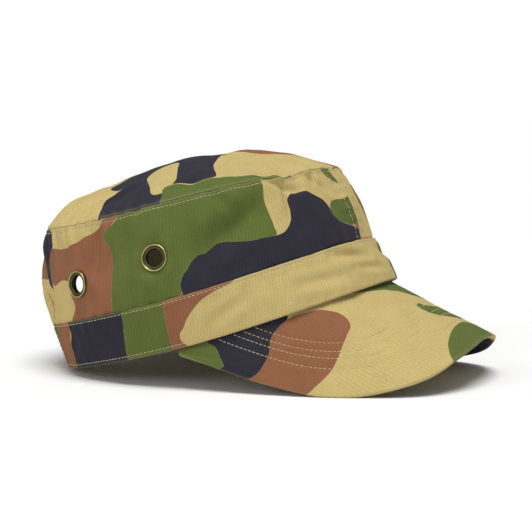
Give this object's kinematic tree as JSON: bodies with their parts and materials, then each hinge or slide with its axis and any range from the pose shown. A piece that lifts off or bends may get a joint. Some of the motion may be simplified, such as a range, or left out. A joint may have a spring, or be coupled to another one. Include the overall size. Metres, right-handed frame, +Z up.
{
  "type": "patrol cap",
  "caption": "Flat-topped cloth patrol cap with a curved peak, a wide band, side eyelets and a strapped back opening.",
  "frame": {"origin": "on the resting plane, under the middle of the whole cap's bounding box", "axes": "-Y is the front, where the peak points; +X is the wearer's left; +Z is up, with the cap resting on its peak and back strap"},
  "size_m": [0.173, 0.254, 0.1214],
  "materials": {
    "twill": "printed cotton twill, matt",
    "eyelet_brass": "antique brass, dull"
  },
  "bodies": {
    "root": {"top_panel": "twill", "side_panel_right": "twill", "side_panel_left": "twill", "band": "twill", "peak": "twill", "arch_binding": "twill", "strap_outer": "twill", "strap_inner": "twill", "eyelet_right_front": "eyelet_brass", "eyelet_right_rear": "eyelet_brass", "eyelet_left_front": "eyelet_brass", "eyelet_left_rear": "eyelet_brass"}
  },
  "joints": []
}
